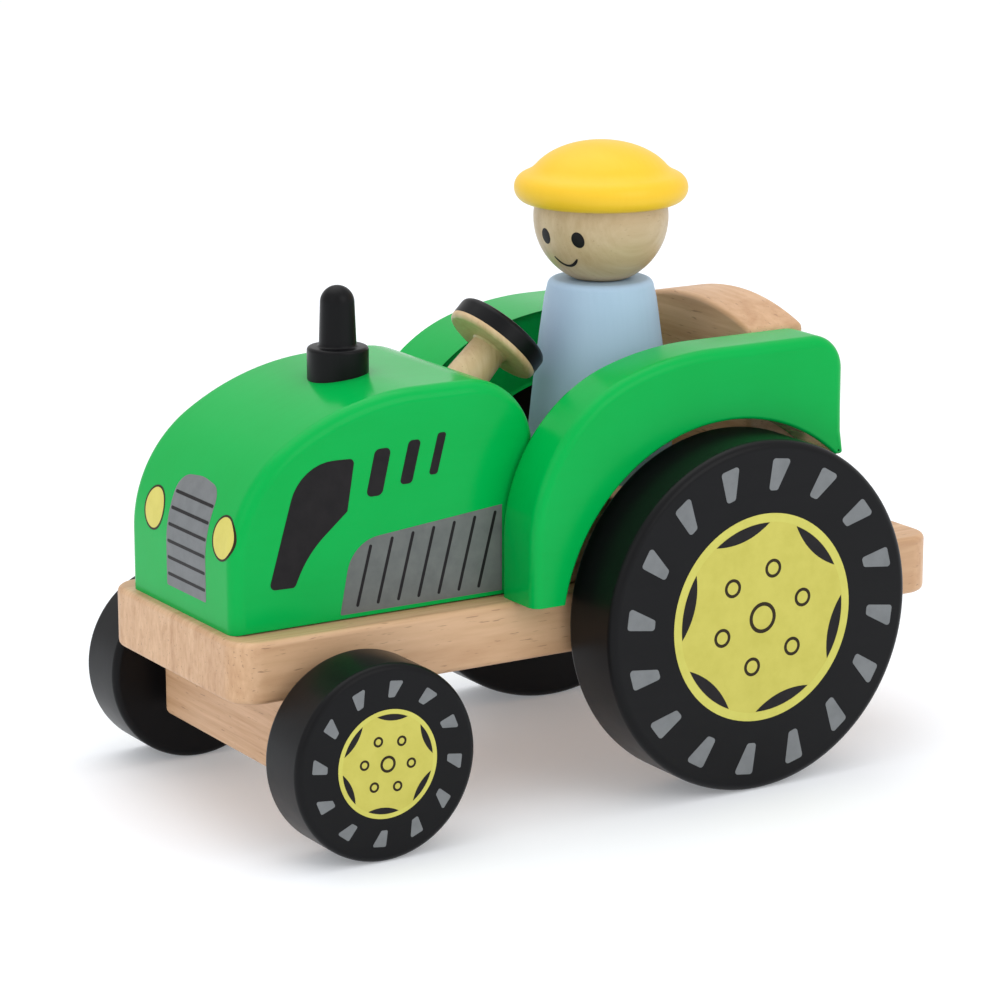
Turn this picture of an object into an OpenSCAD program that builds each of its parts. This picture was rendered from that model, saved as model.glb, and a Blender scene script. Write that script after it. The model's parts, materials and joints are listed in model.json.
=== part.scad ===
// Wooden toy tractor with a peg driver.
// Frame: +X forward, +Y to the tractor's left, +Z up; Z = 0 is the ground under the wheels,
// X = 0 is the middle of the chassis board. Millimetres.

/* [Chassis] */
// Length of the chassis board
chassis_len = 138.2; // [136:0.2:142]
// Width of the chassis board
chassis_w = 46.8; // [46:0.2:47.4]
// Thickness of the chassis board
board_t = 10.3; // [9.6:0.1:10.6]
// Height of the board's underside above the ground
board_z = 24.3; // [24:0.1:24.6]
// Radius of the board's corners, seen from above
board_corner_r = 5; // [3:0.5:7]
// Diameter of the trailer's hitch hole
hitch_d = 10; // [9.4:0.1:11]
// Distance from the board's rear edge to the hitch hole's centre
hitch_inset = 10.1; // [9:0.1:12]

/* [Wheels and axles] */
// Diameter of the rear wheels
rear_wheel_d = 60; // [58:0.5:61]
// Thickness of the rear wheels
rear_wheel_w = 13.5; // [12:0.1:13.6]
// Diameter of the front wheels
front_wheel_d = 32.5; // [31:0.5:33]
// Thickness of the front wheels
front_wheel_w = 11.2; // [10:0.1:11.6]
// Distance between the outer faces of the rear wheels
rear_track = 77.8; // [77:0.1:79]
// Distance between the outer faces of the front wheels
front_track = 76; // [75:0.1:77]
// Distance between the two axles
wheelbase = 71.3; // [70:0.1:73]
// Distance from the board's rear edge to the rear axle
rear_axle_inset = 48.2; // [47:0.1:49]
// Diameter of the steel axles
axle_d = 4; // [3.8:0.1:4.2]
// Radial clearance of every part that turns in wood
running_gap = 0.06; // [0.04:0.01:0.09]

/* [Hood] */
// Width of the hood, which is also the width between the fenders
hood_w = 37; // [36:0.2:38]
// Distance from the board's front edge to the hood's front face
hood_front_inset = 1.9; // [1:0.1:4]
// Length of the hood
hood_len = 56.6; // [55:0.1:58]
// Height of the hood's top above the ground
hood_top_z = 71.2; // [70:0.1:73]
// Height at which the front face starts to curve back
nose_start_z = 45; // [44:0.1:46]
// Radius of the curve above the front face
nose_r = 22.6; // [22:0.1:23]
// Radius of the long curve into the flat top
brow_r = 45; // [44:0.5:46]
// Radius of the hood's rear top edge
cowl_r = 12.5; // [11:0.5:13]

/* [Fenders] */
// Thickness of each fender
fender_t = 10.8; // [10:0.1:11]
// Gap between a rear wheel's top and the arch over it
arch_gap = 1.7; // [1.4:0.1:2.2]
// Height of the fender's top above the ground
fender_top_z = 74; // [73.6:0.1:75]
// Distance from the rear axle forward to the fender's front face
fender_front = 38.8; // [38.4:0.1:39.2]
// Distance from the rear axle back to the fender's rear face
fender_rear = 23.2; // [22.8:0.1:23.4]

/* [Seat] */
// Thickness of the seat block
seat_t = 14; // [13:0.5:15]
// Depth of the round socket that the driver stands in
socket_depth = 4; // [3:0.5:5]
// Thickness of the seat back
seat_back_t = 11.4; // [10.6:0.2:11.8]
// Height of the seat back's crown above the ground
seat_back_top_z = 77.6; // [76:0.1:79]
// Radius of the arched top of the seat back
seat_arch_r = 50; // [45:1:60]

/* [Driver] */
// Distance from the rear axle forward to the driver's centre
driver_fwd = 7.2; // [7:0.1:7.4]
// Radius of the driver's foot
foot_r = 12.7; // [12.4:0.1:12.7]
// Radius of the driver's shoulders
shoulder_r = 9.1; // [8.8:0.1:9.4]
// Height of the driver's body
body_h = 37.4; // [36:0.1:38]
// Radius of the driver's head
head_r = 11.5; // [11.2:0.1:11.8]
// Radius of the hat's brim
brim_r = 14.8; // [14.4:0.1:15.2]
// Height of the hat's crown above the brim's middle
crown_h = 7.9; // [7.5:0.1:9]

/* [Steering wheel and exhaust] */
// Radius of the steering wheel's disc
steering_r = 8.5; // [8.2:0.1:8.5]
// Thickness of the steering wheel's disc
steering_t = 4.4; // [4:0.1:4.6]
// Distance from the rear axle forward to the disc's centre
steering_fwd = 27.8; // [27.8:0.1:28.2]
// Height of the disc's centre above the ground
steering_z = 73.6; // [73.6:0.1:74.5]
// Distance from the rear axle forward to the exhaust
exhaust_fwd = 58.5; // [57:0.1:60]
// Diameter of the exhaust's thick foot
exhaust_foot_d = 10.2; // [9.6:0.1:10.6]
// Diameter of the exhaust's pipe
exhaust_pipe_d = 6.2; // [5.8:0.1:6.4]
// Height of the exhaust's tip above the ground
exhaust_top_z = 85.6; // [83:0.1:88]

/* [Hidden] */

$fn = 96;
e = 0.02;

// Heights and stations along X
deck_z = board_z + board_t;
rear_axle_x = rear_axle_inset - chassis_len / 2;
front_axle_x = rear_axle_x + wheelbase;
rear_axle_z = rear_wheel_d / 2;
front_axle_z = front_wheel_d / 2;
hood_front_x = chassis_len / 2 - hood_front_inset;
hood_rear_x = hood_front_x - hood_len;
driver_x = rear_axle_x + driver_fwd;
exhaust_x = rear_axle_x + exhaust_fwd;
side_y = hood_w / 2;

// Axles, blind bores and spacers
bore_r = axle_d / 2;
journal_r = bore_r + running_gap;
wheel_bore_depth = 8;
spacer_r = 4.5;
spacer_gap = 0.3;
wheel_edge = 0.8;

// Front axle block and its two screws
block_len = 17.4;
block_bottom_z = 10;
screw_r = 1.75;
screw_head_r = 3.2;
screw_head_h = 2;
screw_len = 21;
screw_x = front_axle_x - 5.2;
screw_y = 13;

// Hidden dowels
dowel_r = 3;
fender_dowel_r = 2;
dowel_foot_z = deck_z - 7.3;
dowel_tip_z = deck_z + 12;
hood_dowel_x = [hood_rear_x + 14, hood_front_x - 11];
seat_back_dowel_y = 9;
seat_block_dowel_y = 12.5;
seat_block_dowel_tip_z = deck_z + 7;
fender_dowel_in = 8;
fender_dowel_out = 7;

// Arcs of the hood's outline, as [centre, radius]
brow_x = let (rise = hood_top_z - brow_r - nose_start_z, gap = brow_r - nose_r)
    hood_front_x - nose_r - sqrt(gap * gap - rise * rise);
nose_c = [hood_front_x - nose_r, nose_start_z];
brow_c = [brow_x, hood_top_z - brow_r];
cowl_c = [hood_rear_x + cowl_r, hood_top_z - cowl_r];
nose_join = atan2(nose_c[1] - brow_c[1], nose_c[0] - brow_c[0]);

// Arcs of a fender's outline: the arch's centre is a little ahead of and below the axle
arch_c = [rear_axle_x + 0.3, rear_axle_z - 1];
arch_r = rear_wheel_d + arch_gap - arch_c[1];
shin_r = 28.4;
crest_r = 55;
shin_start_z = 44.4;
shin_c = [rear_axle_x + fender_front - shin_r, shin_start_z];
crest_x = let (rise = fender_top_z - crest_r - shin_start_z, gap = crest_r - shin_r)
    shin_c[0] - sqrt(gap * gap - rise * rise);
crest_c = [crest_x, fender_top_z - crest_r];
shin_join = atan2(shin_c[1] - crest_c[1], shin_c[0] - crest_c[0]);
tail_r = 6;
tail_x = rear_axle_x - fender_rear;
tip_z = rear_axle_z + 23.2;
leg_angle = asin((deck_z - arch_c[1]) / arch_r);
tip_angle = 180 - asin((tip_z - arch_c[1]) / arch_r);
leg_dowel = [rear_axle_x + 34.8, 45];
tail_dowel = [rear_axle_x - 16.5, 66.5];

// Seat
seat_front_x = rear_axle_x + 25.5;
seat_back_x = rear_axle_x - 10.9;
seat_z = deck_z + seat_t;
socket_z = seat_z - socket_depth;
socket_r = foot_r + 0.4;
seat_dowel_x = [seat_back_x - seat_back_t / 2, seat_front_x - 6.5];

// Driver
body_top_z = socket_z + body_h;
foot_h = 5;
taper = 1.35;
shoulder_edge = 1.2;
neck_gap = 0.1;
head_z = body_top_z + 10.6;
neck_r = 2.5;
neck_foot_z = body_top_z - 9;
neck_tip_z = head_z + 1;
brim_tube_r = 2.6;
brim_z = head_z + 5;
brim_tube_c = [brim_r - brim_tube_r, 0];
groove_angle = 99;
groove = brim_tube_c + brim_tube_r * [cos(groove_angle), sin(groove_angle)];
crown_foot = asin(groove[1] / crown_h);
crown_r = groove[0] / cos(crown_foot);

// Steering wheel: its axis leans back by 45 degrees and runs down into the hood's cowl
steering_lean = 45;
steering_x = rear_axle_x + steering_fwd;
post_top_r = 3.2;
post_foot_r = 3.6;
post_len = 8;
spot_r = 4.1;
spigot_r = 2.5;
spigot_len = 16;
spot_s = steering_t / 2 + post_len;

// Exhaust
exhaust_seat_z = 69.4;
exhaust_foot_z = 75.5;
exhaust_tip_r = 2.85;
exhaust_spigot_r = 2.5;
exhaust_spigot_len = 12;

green = [0.02, 0.62, 0.27];
beech = [0.84, 0.68, 0.5];
black = [0.1, 0.1, 0.11];
steel = [0.7, 0.71, 0.73];
nylon = [0.9, 0.9, 0.88];

// Points along an arc from angle a to angle b
function arc(c, r, a, b, n = 24) =
    [for (i = [0 : n]) c + r * [cos(a + (b - a) * i / n), sin(a + (b - a) * i / n)]];

// A body standing up from the XZ plane: its outline is drawn as [x, z] and it runs from y0 to y1
module upright(y0, y1)
    translate([0, y1, 0]) rotate([90, 0, 0]) linear_extrude(y1 - y0) children();

// A cylinder along +Y
module rod_y(x, z, r, y0, y1)
    translate([x, y0, z]) rotate([-90, 0, 0]) cylinder(r = r, h = y1 - y0);

// A vertical cylinder
module rod_z(x, y, r, z0, z1)
    translate([x, y, z0]) cylinder(r = r, h = z1 - z0);

// Runs its children in the steering wheel's own frame: +Z goes down the post into the hood
module on_steering_axis()
    translate([steering_x, 0, steering_z]) rotate([0, 180 - steering_lean, 0]) children();

// A rectangle with rounded corners, centred
module rounded_rect(len, wid, r)
    union() {
        square([len - 2 * r, wid], center = true);
        square([len, wid - 2 * r], center = true);
        for (i = [-1, 1], j = [-1, 1])
            translate([i * (len / 2 - r), j * (wid / 2 - r)]) circle(r = r);
    }

module chassis_board() {
    color(beech)
    difference() {
        translate([0, 0, board_z]) linear_extrude(board_t)
            rounded_rect(chassis_len, chassis_w, board_corner_r);
        rod_z(hitch_inset - chassis_len / 2, 0, hitch_d / 2, board_z - 1, deck_z + 1);
        rod_y(rear_axle_x, rear_axle_z, journal_r, -chassis_w, chassis_w);
        for (x = hood_dowel_x) rod_z(x, 0, dowel_r, dowel_foot_z, deck_z + 1);
        for (s = [-1, 1]) {
            rod_z(seat_dowel_x[0], s * seat_back_dowel_y, dowel_r, dowel_foot_z, deck_z + 1);
            rod_z(seat_dowel_x[1], s * seat_block_dowel_y, dowel_r, dowel_foot_z, deck_z + 1);
            rod_z(screw_x, s * screw_y, screw_r, board_z - 1, block_bottom_z + screw_len);
        }
    }
}

module front_axle_block() {
    color(beech)
    difference() {
        translate([front_axle_x - block_len / 2, -chassis_w / 2, block_bottom_z])
            cube([block_len, chassis_w, board_z - block_bottom_z]);
        rod_y(front_axle_x, front_axle_z, journal_r, -chassis_w, chassis_w);
        for (s = [-1, 1]) {
            rod_z(screw_x, s * screw_y, screw_r, block_bottom_z - 1, board_z + 1);
            translate([screw_x, s * screw_y, block_bottom_z - e])
                cylinder(r1 = screw_head_r + 0.1, r2 = screw_r, h = screw_head_h + e);
        }
    }
}

// Two countersunk wood screws with a cross recess, driven up from below
module axle_block_screws() {
    color(steel)
    for (s = [-1, 1]) translate([screw_x, s * screw_y, block_bottom_z])
        difference() {
            rotate_extrude()
                polygon([
                    [0, 0.2], [screw_head_r - 0.2, 0.2], [screw_r - 0.05, screw_head_h],
                    [screw_r - 0.05, screw_len - 3], [0, screw_len - 0.3]
                ]);
            for (a = [0, 90]) rotate(a)
                translate([-1.6, -0.35, 0]) cube([3.2, 0.7, 1.2]);
        }
}

module hood_outline()
    polygon(concat(
        [[hood_rear_x, deck_z], [hood_front_x, deck_z]],
        arc(nose_c, nose_r, 0, nose_join),
        arc(brow_c, brow_r, nose_join, 90),
        arc(cowl_c, cowl_r, 90, 180)
    ));

module hood() {
    color(green)
    difference() {
        upright(-side_y, side_y) hood_outline();
        for (x = hood_dowel_x) rod_z(x, 0, dowel_r, deck_z - 1, dowel_tip_z);
        rod_z(exhaust_x, 0, exhaust_foot_d / 2, exhaust_seat_z, hood_top_z + 1);
        rod_z(exhaust_x, 0, exhaust_spigot_r, exhaust_seat_z - exhaust_spigot_len, hood_top_z);
        on_steering_axis() {
            cylinder(r = spot_r, h = spot_s);
            cylinder(r = spigot_r + running_gap, h = spot_s + spigot_len + 0.5);
        }
        rod_y(leg_dowel[0], leg_dowel[1], fender_dowel_r, side_y - fender_dowel_in, side_y + 1);
        rod_y(leg_dowel[0], leg_dowel[1], fender_dowel_r, -side_y - 1, fender_dowel_in - side_y);
    }
}

module hood_dowels() {
    color(beech)
    for (x = hood_dowel_x) rod_z(x, 0, dowel_r, dowel_foot_z, dowel_tip_z - 1);
}

// One turned piece: spigot, thick foot and round-ended pipe
module exhaust_stack() {
    pipe_r = exhaust_pipe_d / 2;
    color(black)
    translate([exhaust_x, 0, 0]) rotate_extrude()
        polygon(concat(
            [
                [0, exhaust_seat_z - exhaust_spigot_len + 0.5],
                [exhaust_spigot_r, exhaust_seat_z - exhaust_spigot_len + 0.5],
                [exhaust_spigot_r, exhaust_seat_z],
                [exhaust_foot_d / 2, exhaust_seat_z],
                [exhaust_foot_d / 2, exhaust_foot_z - 0.5],
                [exhaust_foot_d / 2 - 0.5, exhaust_foot_z],
                [pipe_r, exhaust_foot_z]
            ],
            arc([0, exhaust_top_z - exhaust_tip_r], exhaust_tip_r, 0, 90, 12)
        ));
}

module fender_outline()
    polygon(concat(
        [[rear_axle_x + fender_front, deck_z]],
        arc(shin_c, shin_r, 0, shin_join),
        arc(crest_c, crest_r, shin_join, 90),
        arc([tail_x + tail_r, fender_top_z - tail_r], tail_r, 90, 180, 12),
        [[tail_x, tip_z]],
        arc(arch_c, arch_r, tip_angle, leg_angle, 36)
    ));

module fender()
    color(green)
    difference() {
        upright(side_y, side_y + fender_t) fender_outline();
        for (p = [leg_dowel, tail_dowel])
            rod_y(p[0], p[1], fender_dowel_r, side_y - 1, side_y + fender_dowel_out);
    }

module left_fender() fender();

module right_fender() mirror([0, 1, 0]) fender();

module fender_dowels()
    color(beech)
    for (p = [leg_dowel, tail_dowel])
        rod_y(p[0], p[1], fender_dowel_r,
            side_y - fender_dowel_in + 0.5, side_y + fender_dowel_out - 0.5);

module left_fender_dowels() fender_dowels();

module right_fender_dowels() mirror([0, 1, 0]) fender_dowels();

module seat_block() {
    color(beech)
    difference() {
        translate([seat_back_x, -side_y, deck_z])
            cube([seat_front_x - seat_back_x, hood_w, seat_t]);
        rod_z(driver_x, 0, socket_r, socket_z, seat_z + 1);
        for (s = [-1, 1])
            rod_z(seat_dowel_x[1], s * seat_block_dowel_y, dowel_r,
                deck_z - 1, seat_block_dowel_tip_z + 0.5);
    }
}

// Outline of the seat back, drawn as [y, z]: an upright board with an arched top
module seat_back_outline()
    intersection() {
        translate([-side_y, deck_z]) square([hood_w, seat_back_top_z - deck_z]);
        translate([0, seat_back_top_z - seat_arch_r]) circle(r = seat_arch_r, $fn = 180);
    }

module seat_back() {
    color(beech)
    difference() {
        translate([seat_back_x - seat_back_t, 0, 0]) rotate([90, 0, 90])
            linear_extrude(seat_back_t) seat_back_outline();
        for (s = [-1, 1])
            rod_z(seat_dowel_x[0], s * seat_back_dowel_y, dowel_r, deck_z - 1, dowel_tip_z);
        rod_y(tail_dowel[0], tail_dowel[1], fender_dowel_r, side_y - fender_dowel_in, side_y + 1);
        rod_y(tail_dowel[0], tail_dowel[1], fender_dowel_r, -side_y - 1, fender_dowel_in - side_y);
    }
}

module seat_dowels() {
    color(beech)
    for (s = [-1, 1]) {
        rod_z(seat_dowel_x[0], s * seat_back_dowel_y, dowel_r, dowel_foot_z, dowel_tip_z - 1);
        rod_z(seat_dowel_x[1], s * seat_block_dowel_y, dowel_r,
            dowel_foot_z, seat_block_dowel_tip_z);
    }
}

// One turned piece: disc, tapered post and the spigot that turns in the hood
module steering_wheel() {
    edge = 0.8;
    half_t = steering_t / 2;
    color(beech)
    on_steering_axis() rotate_extrude()
        polygon([
            [0, -half_t],
            [steering_r - edge, -half_t],
            [steering_r, edge - half_t],
            [steering_r, half_t - edge],
            [steering_r - edge, half_t],
            [post_top_r, half_t],
            [post_foot_r, spot_s - 0.1],
            [spigot_r, spot_s - 0.1],
            [spigot_r, spot_s + spigot_len],
            [0, spot_s + spigot_len]
        ]);
}

// A round wooden wheel with softened edges and a blind bore from its inner face
module wheel(d, w, x, z, track, side) {
    y_out = track / 2;
    profile = [
        [0, 0], [d / 2 - wheel_edge, 0], [d / 2, wheel_edge],
        [d / 2, w - wheel_edge], [d / 2 - wheel_edge, w], [0, w]
    ];
    color(black)
    translate([x, side * y_out, z]) rotate([side * 90, 0, 0])
        difference() {
            rotate_extrude($fn = 180) polygon(profile);
            translate([0, 0, w - wheel_bore_depth]) cylinder(r = bore_r, h = wheel_bore_depth + 1);
        }
}

module axle(x, z, track, w) {
    reach = track / 2 - w + wheel_bore_depth - 0.5;
    color(steel) rod_y(x, z, bore_r, -reach, reach);
}

// The two washers that keep a pair of wheels off the wood
module spacers(x, z, track, w)
    color(nylon)
    for (s = [-1, 1]) {
        from = chassis_w / 2 + spacer_gap;
        to = track / 2 - w - spacer_gap / 2;
        difference() {
            rod_y(x, z, spacer_r, s > 0 ? from : -to, s > 0 ? to : -from);
            rod_y(x, z, bore_r, -track, track);
        }
    }

module front_axle() axle(front_axle_x, front_axle_z, front_track, front_wheel_w);

module rear_axle() axle(rear_axle_x, rear_axle_z, rear_track, rear_wheel_w);

module front_spacers() spacers(front_axle_x, front_axle_z, front_track, front_wheel_w);

module rear_spacers() spacers(rear_axle_x, rear_axle_z, rear_track, rear_wheel_w);

module front_left_wheel()
    wheel(front_wheel_d, front_wheel_w, front_axle_x, front_axle_z, front_track, 1);

module front_right_wheel()
    wheel(front_wheel_d, front_wheel_w, front_axle_x, front_axle_z, front_track, -1);

module rear_left_wheel()
    wheel(rear_wheel_d, rear_wheel_w, rear_axle_x, rear_axle_z, rear_track, 1);

module rear_right_wheel()
    wheel(rear_wheel_d, rear_wheel_w, rear_axle_x, rear_axle_z, rear_track, -1);

// Radius of the driver's body at height h: straight at the foot, then narrowing ever faster
function body_r(h) =
    foot_r - (foot_r - shoulder_r) * pow(max(0, h - foot_h) / (body_h - foot_h), taper);

module driver_body() {
    waist_h = body_h - shoulder_edge;
    color([0.62, 0.75, 0.85])
    difference() {
        translate([driver_x, 0, socket_z]) rotate_extrude()
            polygon(concat(
                [[0, 0], [foot_r - 0.6, 0], [foot_r, 0.6]],
                [for (i = [0 : 9]) let (h = foot_h + (waist_h - foot_h) * i / 10) [body_r(h), h]],
                arc([shoulder_r - shoulder_edge, waist_h], shoulder_edge, 0, 90, 6),
                [[0, body_h]]
            ));
        rod_z(driver_x, 0, neck_r, neck_foot_z - 0.5, body_top_z + 1);
    }
}

module neck_dowel() {
    color(beech) rod_z(driver_x, 0, neck_r, neck_foot_z, neck_tip_z);
}

module driver_head() {
    color([0.85, 0.75, 0.6])
    difference() {
        translate([driver_x, 0, head_z]) sphere(r = head_r);
        translate([driver_x - 20, -20, body_top_z + neck_gap - 10]) cube([40, 40, 10]);
        rod_z(driver_x, 0, neck_r + running_gap, body_top_z - 1, neck_tip_z + 0.5);
    }
}

// A low crown on a rolled brim, hollowed to sit on the round head
module driver_hat() {
    color([0.98, 0.82, 0.3])
    difference() {
        translate([driver_x, 0, brim_z]) rotate_extrude()
            polygon(concat(
                [[0, -brim_tube_r]],
                arc(brim_tube_c, brim_tube_r, -90, groove_angle, 16),
                [for (i = [1 : 14]) let (a = crown_foot + (90 - crown_foot) * i / 14)
                    [crown_r * cos(a), crown_h * sin(a)]]
            ));
        translate([driver_x, 0, head_z]) sphere(r = head_r + 0.05);
    }
}

chassis_board();
front_axle_block();
axle_block_screws();
hood();
hood_dowels();
exhaust_stack();
left_fender();
right_fender();
left_fender_dowels();
right_fender_dowels();
seat_block();
seat_back();
seat_dowels();
steering_wheel();
front_axle();
front_left_wheel();
front_right_wheel();
front_spacers();
rear_axle();
rear_left_wheel();
rear_right_wheel();
rear_spacers();
driver_body();
neck_dowel();
driver_head();
driver_hat();
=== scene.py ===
import json
import math

import bmesh
import bpy
from mathutils import Matrix, Vector


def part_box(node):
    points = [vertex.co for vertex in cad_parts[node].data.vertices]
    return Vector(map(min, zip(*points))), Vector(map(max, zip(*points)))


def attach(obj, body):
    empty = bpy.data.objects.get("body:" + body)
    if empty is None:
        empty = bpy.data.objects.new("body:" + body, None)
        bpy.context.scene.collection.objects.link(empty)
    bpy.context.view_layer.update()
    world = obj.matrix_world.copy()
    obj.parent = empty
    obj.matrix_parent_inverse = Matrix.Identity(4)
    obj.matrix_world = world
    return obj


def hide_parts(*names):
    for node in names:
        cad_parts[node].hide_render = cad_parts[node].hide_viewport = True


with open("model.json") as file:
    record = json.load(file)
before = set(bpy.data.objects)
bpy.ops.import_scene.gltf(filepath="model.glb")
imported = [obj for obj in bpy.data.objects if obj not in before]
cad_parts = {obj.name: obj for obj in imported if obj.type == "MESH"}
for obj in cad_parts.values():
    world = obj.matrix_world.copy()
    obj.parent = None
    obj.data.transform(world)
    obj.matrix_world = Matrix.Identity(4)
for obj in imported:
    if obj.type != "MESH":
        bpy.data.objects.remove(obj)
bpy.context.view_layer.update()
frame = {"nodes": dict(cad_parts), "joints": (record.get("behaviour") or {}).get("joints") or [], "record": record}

# Looks of a wooden toy tractor with a peg driver. Shapes are worked out in millimetres, in the
# frame of the CAD part, and every mesh is scaled to metres when it is made.
MM = 0.001


# ---------------------------------------------------------------- places and sizes


def box(node):
    """Lowest and highest corner of a CAD node, in millimetres."""
    low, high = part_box(node)
    return low / MM, high / MM


def middle(node):
    low, high = box(node)
    return (low + high) / 2


HOOD_LOW, HOOD_HIGH = box("hood")
FENDER_LOW, FENDER_HIGH = box("left_fender")
REAR_AXLE = middle("rear_left_wheel")
REAR_WHEEL_D = 2 * REAR_AXLE.z
DECK_Z = box("chassis_board")[1].z

# The head is a ball. The hat's brim sits this far above its centre, and the crown above the brim
HEAD_R = 11.5
BRIM_RISE = 5
CROWN_RISE = 7.9
HEAD = middle("driver_hat")
HEAD.z = box("driver_hat")[1].z - (BRIM_RISE + CROWN_RISE)

STEERING = next(j for j in frame["joints"] if j["name"] == "steering_turn")
STEERING_HUB = Vector(STEERING["pos_m"]) / MM
STEERING_AXIS = -Vector(STEERING["axis"])

# The steering wheel's post and spigot; both ends are measured from the hub
POST_R = 3.6
POST_END = 10.2
SPIGOT_R = 2.5
SPIGOT_END = 26.2

# Arcs of the hood's outline from front to rear, and the height of the nose's centre on the deck
NOSE_R = 22.6
BROW_R = 45
COWL_R = 12.5
NOSE_RISE = 10.4

# Rounding of the long edges
HOOD_EDGE = 2.3
HOOD_FOOT_EDGE = 0.3
FENDER_EDGE = 1.9
ARCH_EDGE = 0.6

# The two corners of the fender's tail
TIP_R = 0.7
TIP_STEPS = 6

# How far each layer of print stands proud of the surface under it, how deep it is rooted, and
# how far the print on the wheels stays inside the CAD box
FIRST_INK = 0.03
EDGE_INK = 0.04
SECOND_INK = 0.05
INK_ROOT = 0.12
INK_MARGIN = 0.01

# Spacing of the cuts that let a print bend over the nose, in mm, and over the head, in degrees.
# The cuts are shifted so that they miss the outlines' own points.
NOSE_CUTS = 0.8
HEAD_CUTS = 2.0
CUT_SHIFT = 0.0137

SLAT_WIDTH = 0.55


# ---------------------------------------------------------------- outlines


def turn(centre, radius, angle):
    t = math.radians(angle)
    return (centre[0] + radius * math.cos(t), centre[1] + radius * math.sin(t))


def arc(centre, radius, a, b, n=24):
    return [turn(centre, radius, a + (b - a) * i / n) for i in range(n + 1)]


def circle(radius, n=96):
    return arc((0, 0), radius, 0, 360, n)[:-1]


def rectangle(left, bottom, right, top):
    return [(left, bottom), (right, bottom), (right, top), (left, top)]


def ellipse(centre, rx, ry, lean=0, n=40):
    """An ellipse whose long way is leaned over by some degrees."""
    c, s = math.cos(math.radians(lean)), math.sin(math.radians(lean))
    points = []
    for i in range(n):
        t = 2 * math.pi * i / n
        x, y = rx * math.cos(t), ry * math.sin(t)
        points.append((centre[0] + c * x - s * y, centre[1] + s * x + c * y))
    return points


def rounded(corners, steps=6, closed=True):
    """An outline from (u, v, radius) corners, with each corner rounded by an arc."""
    out = []
    count = len(corners)
    for i, (u, v, radius) in enumerate(corners):
        here = Vector((u, v))
        if radius <= 0 or (not closed and i in (0, count - 1)):
            out.append((u, v))
            continue
        back = (Vector(corners[i - 1][:2]) - here).normalized()
        ahead = (Vector(corners[(i + 1) % count][:2]) - here).normalized()
        half = back.angle(ahead) / 2
        centre = here + (back + ahead).normalized() * radius / math.sin(half)
        reach = radius / math.tan(half)
        start, stop = here + back * reach - centre, here + ahead * reach - centre
        sweep = start.angle_signed(stop)
        for k in range(steps + 1):
            # angle_signed counts clockwise turns as positive
            spoke = Matrix.Rotation(-sweep * k / steps, 2) @ start
            out.append(tuple(centre + spoke))
    return out


def meeting(low_centre, high_centre):
    """Direction in which an arc hands over to the larger arc that it touches inside."""
    return math.degrees(
        math.atan2(low_centre[1] - high_centre[1], low_centre[0] - high_centre[0])
    )


def touching_x(low_centre, low_r, high_r, top_z):
    """X of the centre of an arc of radius high_r that peaks at top_z and touches the lower arc."""
    rise = top_z - high_r - low_centre[1]
    gap = high_r - low_r
    return low_centre[0] - math.sqrt(gap * gap - rise * rise)


NOSE_C = (HOOD_HIGH.x - NOSE_R, DECK_Z + NOSE_RISE)


def hood_outline():
    """The hood from the side, starting at its lower rear corner."""
    brow = (touching_x(NOSE_C, NOSE_R, BROW_R, HOOD_HIGH.z), HOOD_HIGH.z - BROW_R)
    cowl = (HOOD_LOW.x + COWL_R, HOOD_HIGH.z - COWL_R)
    join = meeting(NOSE_C, brow)
    return (
        [(HOOD_LOW.x, DECK_Z), (HOOD_HIGH.x, DECK_Z)]
        + arc(NOSE_C, NOSE_R, 0, join, 28)
        + arc(brow, BROW_R, join, 90, 16)[1:]
        + arc(cowl, COWL_R, 90, 180, 20)
    )


def fender_outline():
    """A fender from the side, starting at the front of its foot."""
    shin_r, crest_r, tail_r = 28.4, 55, 6
    shin_rise, arch_gap, tip_rise = 9.8, 1.7, 23.2
    shin = (FENDER_HIGH.x - shin_r, DECK_Z + shin_rise)
    crest = (touching_x(shin, shin_r, crest_r, FENDER_HIGH.z), FENDER_HIGH.z - crest_r)
    join = meeting(shin, crest)
    tail = (FENDER_LOW.x + tail_r, FENDER_HIGH.z - tail_r)
    arch = (REAR_AXLE.x + 0.3, REAR_AXLE.z - 1)
    arch_r = REAR_WHEEL_D + arch_gap - arch[1]
    tip_z = REAR_AXLE.z + tip_rise
    leg = math.degrees(math.asin((DECK_Z - arch[1]) / arch_r))
    tip = 180 - math.degrees(math.asin((tip_z - arch[1]) / arch_r))
    arch_start = tip - 4
    tip_corner = [
        (FENDER_LOW.x, tail[1], 0),
        (FENDER_LOW.x, tip_z, TIP_R),
        turn(arch, arch_r, tip) + (TIP_R,),
        turn(arch, arch_r, arch_start) + (0,),
    ]
    # The edge rounding narrows from point to point on the way down to the tip
    taper = [(FENDER_LOW.x, tip_z + rise) for rise in (8, 4)]
    return (
        [(FENDER_HIGH.x, DECK_Z)]
        + arc(shin, shin_r, 0, join, 24)
        + arc(crest, crest_r, join, 90, 16)[1:]
        + arc(tail, tail_r, 90, 180, 12)
        + taper
        + rounded(tip_corner, TIP_STEPS, closed=False)[1:-1]
        + arc(arch, arch_r, arch_start, leg, 44)
    )


# ---------------------------------------------------------------- mesh making


def add_object(name, bm, material):
    """A mesh object from a bmesh in millimetres."""
    bmesh.ops.recalc_face_normals(bm, faces=bm.faces)
    bm.transform(Matrix.Scale(MM, 4))
    mesh = bpy.data.meshes.new(name)
    bm.to_mesh(mesh)
    bm.free()
    mesh.materials.append(material)
    ob = bpy.data.objects.new(name, mesh)
    bpy.context.scene.collection.objects.link(ob)
    return ob


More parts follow.
